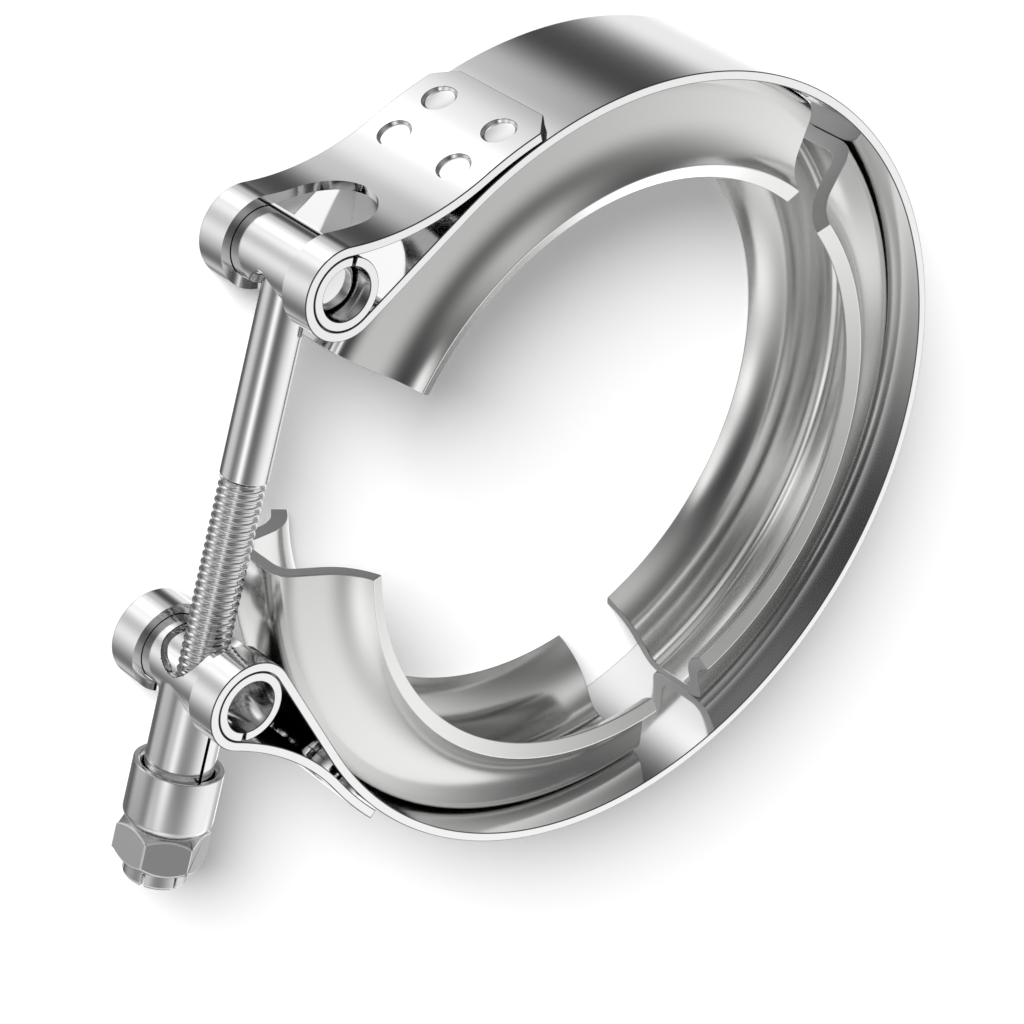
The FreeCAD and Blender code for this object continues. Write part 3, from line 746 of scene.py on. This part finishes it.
def make_thread(top, bottom):
    """Helical skin from the shank down to the bolt's end."""
    bm = bmesh.new()
    rows = ceil((top - bottom) / PITCH) * THREAD_ROWS + THREAD_ROWS
    grid = []
    for row in range(rows + 1):
        ring = []
        for step in range(SMALL_STEPS + 1):
            height = top + PITCH / 2 - PITCH * (row / THREAD_ROWS + step / SMALL_STEPS)
            radius = thread_radius(row / THREAD_ROWS)
            if height > top:
                height, radius = top, THREAD_ROOT
            if height < bottom:
                height, radius = bottom, THREAD_ROOT
            angle = tau * step / SMALL_STEPS
            ring.append(bm.verts.new((radius * cos(angle), height, radius * sin(angle))))
        grid.append(ring)
    for here, below in zip(grid, grid[1:]):
        for step in range(SMALL_STEPS):
            bm.faces.new((here[step], below[step], below[step + 1], here[step + 1]))
    bmesh.ops.remove_doubles(bm, verts=bm.verts[:], dist=THREAD_TOUCHING)
    bmesh.ops.dissolve_degenerate(bm, dist=TOUCHING, edges=bm.edges[:])
    face_outwards(bm)
    return bm


def make_bolt():
    """Cross head, shank, and a thread round a core."""
    top, bottom = -SHANK_LENGTH, BOLT_END - UPPER_Y
    tip, edge = HEAD_RADIUS - HEAD_CHAMFER, HEAD_HALF - HEAD_CHAMFER
    end = [(0, HEAD_HALF), (tip / 2, HEAD_HALF - HEAD_CROWN), (tip, HEAD_HALF - HEAD_DROP),
           (HEAD_RADIUS, edge)]
    pin = end + [(r, -z) for r, z in reversed(end)]
    head = soften(mesh_object("Head", lathe(pin, HEAD_STEPS, "Z")), HEAD_EDGE, 3, HEAD_SHARP)
    rod = [(0, 0), (SHANK_RADIUS, 0), (SHANK_RADIUS, top + SHANK_RUNOUT), (THREAD_ROOT, top), (0, top)]
    shank = soften(mesh_object("Shank", lathe(rod, ROUND_STEPS)), SHANK_EDGE)
    inside = [(0, top), (THREAD_ROOT, top), (THREAD_ROOT, bottom), (0, bottom)]
    core = smooth(mesh_object("Core", lathe(inside, SMALL_STEPS)))
    thread = smooth(mesh_object("Thread", make_thread(top, bottom)))
    return shifted(join("bolt_threaded", [head, shank, core, thread]), UPPER_X, UPPER_Y)


def make_collar():
    """Turned cup over the sleeve's end, rounded at its floor."""
    rounding = COLLAR_ROUNDING
    rounded = arc_points(COLLAR_RADIUS - rounding, rounding - COLLAR_END, rounding, 0, -90, ROUNDING_STEPS)
    profile = [(COLLAR_RADIUS, -COLLAR_TOP), *rounded, (COLLAR_HOLE, -COLLAR_END),
               (COLLAR_HOLE, -COLLAR_FLOOR_TOP), (COLLAR_BORE, -COLLAR_FLOOR_TOP),
               (COLLAR_BORE, -COLLAR_TOP - COLLAR_MOUTH), (COLLAR_BORE + COLLAR_MOUTH, -COLLAR_TOP)]
    collar = soften(mesh_object("collar_cup", lathe(profile, ROUND_STEPS)), COLLAR_EDGE, 3)
    return shifted(collar, LOWER_X, LOWER_Y)


def make_nut():
    """Hexagon with chamfered corners and a round crown that is slit across three times."""
    profile = [(NUT_BORE, -NUT_TOP), (NUT_FACE, -NUT_TOP), (NUT_CORNER, -NUT_TOP - NUT_CHAMFER),
               (NUT_CORNER, -NUT_BOTTOM + NUT_CHAMFER), (NUT_FACE, -NUT_BOTTOM),
               (CROWN_RADIUS, -NUT_BOTTOM), (CROWN_RADIUS, -CROWN_END + CROWN_CHAMFER),
               (CROWN_RADIUS - CROWN_CHAMFER, -CROWN_END), (NUT_BORE, -CROWN_END)]
    nut = mesh_object("lock_nut_hex", lathe(profile, NUT_STEPS))
    far = 2 * NUT_CORNER
    flat = (NUT_FLAT, -NUT_BOTTOM - LEVEL, -far), (far, -NUT_TOP + 1, far)
    slit = (-CROWN_SLIT / 2, -CROWN_END - 1, -far), (CROWN_SLIT / 2, -CROWN_END + CROWN_SLIT_DEPTH, far)
    cutters = []
    for count, (low, high) in ((6, flat), (3, slit)):
        for side in range(count):
            cutter = box_cutter(low, high)
            cutter.data.transform(Matrix.Rotation(side * pi / 3, 4, "Y"))
            cutters.append(cutter)
    nut = soften(carve(nut, cutters), NUT_EDGE, angle=NUT_SHARP, painted_edges=True)
    return shifted(nut, LOWER_X, LOWER_Y)


# Materials

def steel(name, colour, roughness, grain):
    """Stainless steel whose roughness varies a little from place to place."""
    material = bpy.data.materials.new(name)
    material.use_nodes = True
    nodes, links = material.node_tree.nodes, material.node_tree.links
    shader = nodes["Principled BSDF"]
    shader.inputs["Base Color"].default_value = (*colour, 1)
    shader.inputs["Metallic"].default_value = 1.0
    shader.inputs["Roughness"].default_value = roughness
    place = nodes.new("ShaderNodeTexCoord")
    noise = nodes.new("ShaderNodeTexNoise")
    noise.inputs["Scale"].default_value = GRAIN_SCALE
    noise.inputs["Detail"].default_value = GRAIN_DETAIL
    spread = nodes.new("ShaderNodeMapRange")
    spread.inputs["To Min"].default_value = roughness - grain
    spread.inputs["To Max"].default_value = roughness + grain
    links.new(place.outputs["Object"], noise.inputs["Vector"])
    links.new(noise.outputs["Fac"], spread.inputs["Value"])
    links.new(spread.outputs["Result"], shader.inputs["Roughness"])
    return material


def dress(piece, *materials):
    """Fill the piece's material slots, in order."""
    slots = piece.data.materials
    for index, material in enumerate(materials):
        if index < len(slots):
            slots[index] = material
        else:
            slots.append(material)
    return piece


# Making

band_steel = steel("BandSteel", (0.80, 0.80, 0.80), 0.09, 0.005)
# Painted shade: nearly black steel on the rounded edges of the strap and tubes draws dark lines along them.
edge_shade_steel = steel("EdgeShadeSteel", (0.14, 0.14, 0.14), 0.4, 0.03)
segment_steel = steel("SegmentSteel", (0.79, 0.79, 0.78), 0.17, 0.005)
sheared_steel = steel("ShearedSteel", (0.62, 0.62, 0.62), 0.42, 0.03)
tube_steel = steel("TrunnionSteel", (0.80, 0.80, 0.80), 0.13, 0.005)
bolt_steel = steel("BoltSteel", (0.79, 0.79, 0.79), 0.08, 0.005)
collar_steel = steel("CollarSteel", (0.76, 0.76, 0.76), 0.15, 0.005)
nut_steel = steel("NutSteel", (0.61, 0.61, 0.61), 0.28, 0.02)
# Painted highlight: the nut's rounded edges get a much paler steel than the nut, which draws bright lines
# along them.
nut_edge_highlight_steel = steel("NutEdgeHighlightSteel", (0.95, 0.95, 0.95), 0.55, 0.02)


def add(piece, node, body, slot, *materials):
    """Show a dressed piece in place of a solid and let it ride on a body."""
    dress(piece, *materials)
    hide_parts(node)
    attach(piece, body)


# The strap's rounded edges take the nearly black steel, which paints shade lines along them.
add(make_band(), "band", "clamp", "band_steel", band_steel, edge_shade_steel)
for button in make_weld_buttons():
    dress(button, band_steel)
    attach(button, "clamp")
for name, (first, last) in SEGMENTS.items():
    add(make_segment(name, first, last), name, "clamp", "segment_steel", segment_steel, sheared_steel)
# The tube's rounded edges take the nearly black steel, which paints shade lines along them.
add(make_upper_tube(), "upper_trunnion", "bolt", "trunnion_steel", tube_steel, edge_shade_steel)
add(make_bolt(), "t_bolt", "bolt", "bolt_steel", bolt_steel)
add(make_collar(), "collar", "cup", "collar_steel", collar_steel)
# The nut's second material paints highlight lines on its rounded edges.
add(make_nut(), "lock_nut", "nut", "nut_steel", nut_steel, nut_edge_highlight_steel)
# The cross tube's rounded edges take the nearly black steel, which paints shade lines along them.
add(make_lower_tube(), "lower_trunnion", "latch", "trunnion_steel", tube_steel, edge_shade_steel)


# Floor, light and camera

def math_node(nodes, links, operation, *values):
    """Output of a math node fed by numbers and sockets."""
    node = nodes.new("ShaderNodeMath")
    node.operation = operation
    for socket, value in zip(node.inputs, values):
        if isinstance(value, (int, float)):
            socket.default_value = value
        else:
            links.new(value, socket)
    return node.outputs[0]


def split_glossy(nodes, links, rays, plain, mirrored, out):
    """Give the output one shader, and another to the rays that polished metal sends out."""
    mix = nodes.new("ShaderNodeMixShader")
    links.new(rays.outputs["Is Glossy Ray"], mix.inputs["Fac"])
    links.new(plain.outputs[0], mix.inputs[1])
    links.new(mirrored.outputs[0], mix.inputs[2])
    links.new(mix.outputs[0], out.inputs["Surface"])


def make_floor():
    """Pale paper that keeps the shadow; polished metal sees the studio below it instead."""
    bm = bmesh.new()
    bmesh.ops.create_grid(bm, x_segments=1, y_segments=1, size=FLOOR_SIZE)
    floor = shifted(mesh_object("Floor", bm), 0, 0, -HALF_WIDTH)
    material = bpy.data.materials.new("Paper")
    material.use_nodes = True
    nodes, links = material.node_tree.nodes, material.node_tree.links
    rays = nodes.new("ShaderNodeLightPath")
    paper = nodes["Principled BSDF"]
    paper.inputs["Base Color"].default_value = FLOOR_COLOUR
    paper.inputs["Roughness"].default_value = FLOOR_ROUGHNESS
    paper.inputs["Specular IOR Level"].default_value = FLOOR_GLOSS
    paper.inputs["Emission Color"].default_value = WHITE
    glow = math_node(nodes, links, "MULTIPLY", rays.outputs["Is Camera Ray"], FLOOR_GLOW)
    links.new(glow, paper.inputs["Emission Strength"])
    clear = nodes.new("ShaderNodeBsdfTransparent")
    split_glossy(nodes, links, rays, paper, clear, nodes["Material Output"])
    dress(floor, material)


def make_world():
    """White to the camera, even light for the floor, and soft boxes for reflections."""
    world = bpy.data.worlds.new("Studio")
    bpy.context.scene.world = world
    world.use_nodes = True
    nodes, links = world.node_tree.nodes, world.node_tree.links
    nodes.clear()
    direction = nodes.new("ShaderNodeTexCoord").outputs["Generated"]
    total = STUDIO_DARK
    for azimuth, elevation, amount, sharpness in SOFT_BOXES:
        turn, lift = radians(azimuth), radians(elevation)
        facing = nodes.new("ShaderNodeVectorMath")
        facing.operation = "DOT_PRODUCT"
        facing.inputs[1].default_value = (cos(turn) * cos(lift), sin(turn) * cos(lift), sin(lift))
        links.new(direction, facing.inputs[0])
        falloff = math_node(nodes, links, "MULTIPLY_ADD", facing.outputs["Value"], sharpness, -sharpness)
        light = math_node(nodes, links, "EXPONENT", falloff)
        total = math_node(nodes, links, "MULTIPLY_ADD", light, amount, total)
    rays = nodes.new("ShaderNodeLightPath")
    seen = rays.outputs["Is Camera Ray"]
    level = math_node(nodes, links, "MULTIPLY_ADD", seen, 1 - FLOOR_AMBIENT, FLOOR_AMBIENT)
    even, boxes = nodes.new("ShaderNodeBackground"), nodes.new("ShaderNodeBackground")
    for background, strength in ((even, level), (boxes, total)):
        background.inputs["Color"].default_value = WHITE
        links.new(strength, background.inputs["Strength"])
    split_glossy(nodes, links, rays, even, boxes, nodes.new("ShaderNodeOutputWorld"))


def make_key_light():
    """Broad even light for the floor and its shadow; the metal mirrors the studio's soft boxes."""
    light = bpy.data.lights.new("KeyLight", "SUN")
    light.angle = radians(KEY_SOFTNESS)
    light.energy = KEY_STRENGTH
    lamp = linked("KeyLight", light)
    lamp.rotation_euler = (-Vector(KEY_DIRECTION)).to_track_quat("-Z", "Y").to_euler()
    lamp.visible_glossy = False


def make_camera():
    """The photograph's view, by the camera's place and its own three axes."""
    camera_data = bpy.data.cameras.new("Camera")
    camera_data.lens = CAMERA_LENS
    camera_data.sensor_width = CAMERA_SENSOR
    camera_data.shift_x = CAMERA_SHIFT
    camera = linked("Camera", camera_data)
    turn = Matrix((CAMERA_RIGHT, CAMERA_UP, CAMERA_BACK)).transposed()
    camera.matrix_world = Matrix.Translation(CAMERA_PLACE) @ turn.to_4x4()
    bpy.context.scene.camera = camera


make_floor()
make_world()
make_key_light()
make_camera()

scene = bpy.context.scene
scene.view_settings.view_transform = "Standard"
